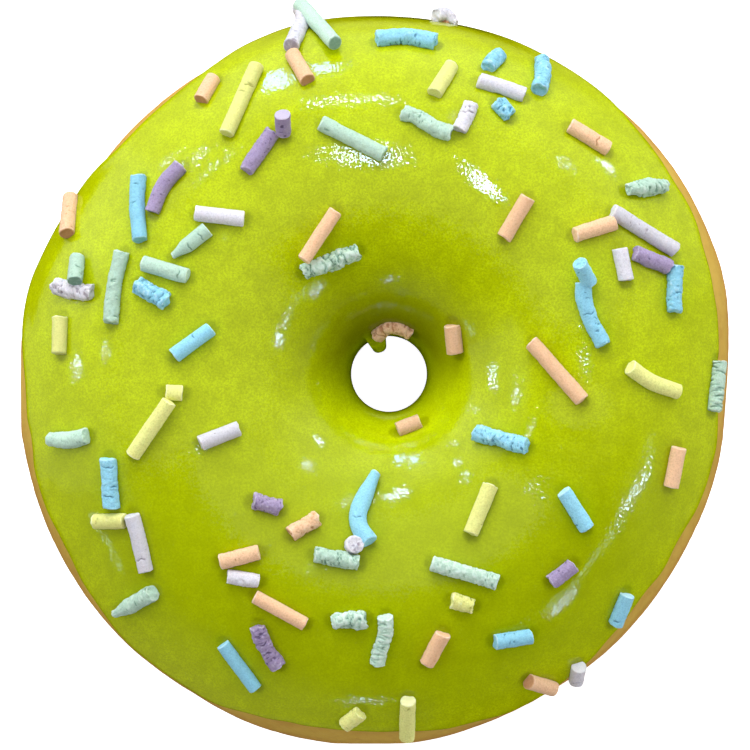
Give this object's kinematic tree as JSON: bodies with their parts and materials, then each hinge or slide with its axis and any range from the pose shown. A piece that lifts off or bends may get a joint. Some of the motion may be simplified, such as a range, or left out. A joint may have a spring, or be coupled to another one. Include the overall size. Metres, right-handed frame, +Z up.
{
  "type": "sprinkle frosted doughnut",
  "caption": "Ring doughnut lying flat: fried dough with smooth lime green icing over the top and into the hole, and pastel sprinkles set in the icing.",
  "frame": {"origin": "on the table, under the middle of the doughnut's bounding box", "axes": "+Z up through the hole, from the flat underside to the iced top; +X and +Y lie along the table"},
  "size_m": [0.0888, 0.0936, 0.0357],
  "materials": {
    "dough": "fried dough crust, matte, golden brown, finely wrinkled",
    "icing": "set sugar icing, glossy, smooth with a fine orange-peel surface",
    "sprinkle_mint": "pressed sugar, chalky",
    "sprinkle_blue": "pressed sugar, chalky",
    "sprinkle_peach": "pressed sugar, chalky",
    "sprinkle_yellow": "pressed sugar, chalky",
    "sprinkle_lilac": "pressed sugar, chalky",
    "sprinkle_purple": "pressed sugar, chalky"
  },
  "bodies": {
    "root": {"dough": "dough", "icing": "icing"}
  },
  "joints": []
}
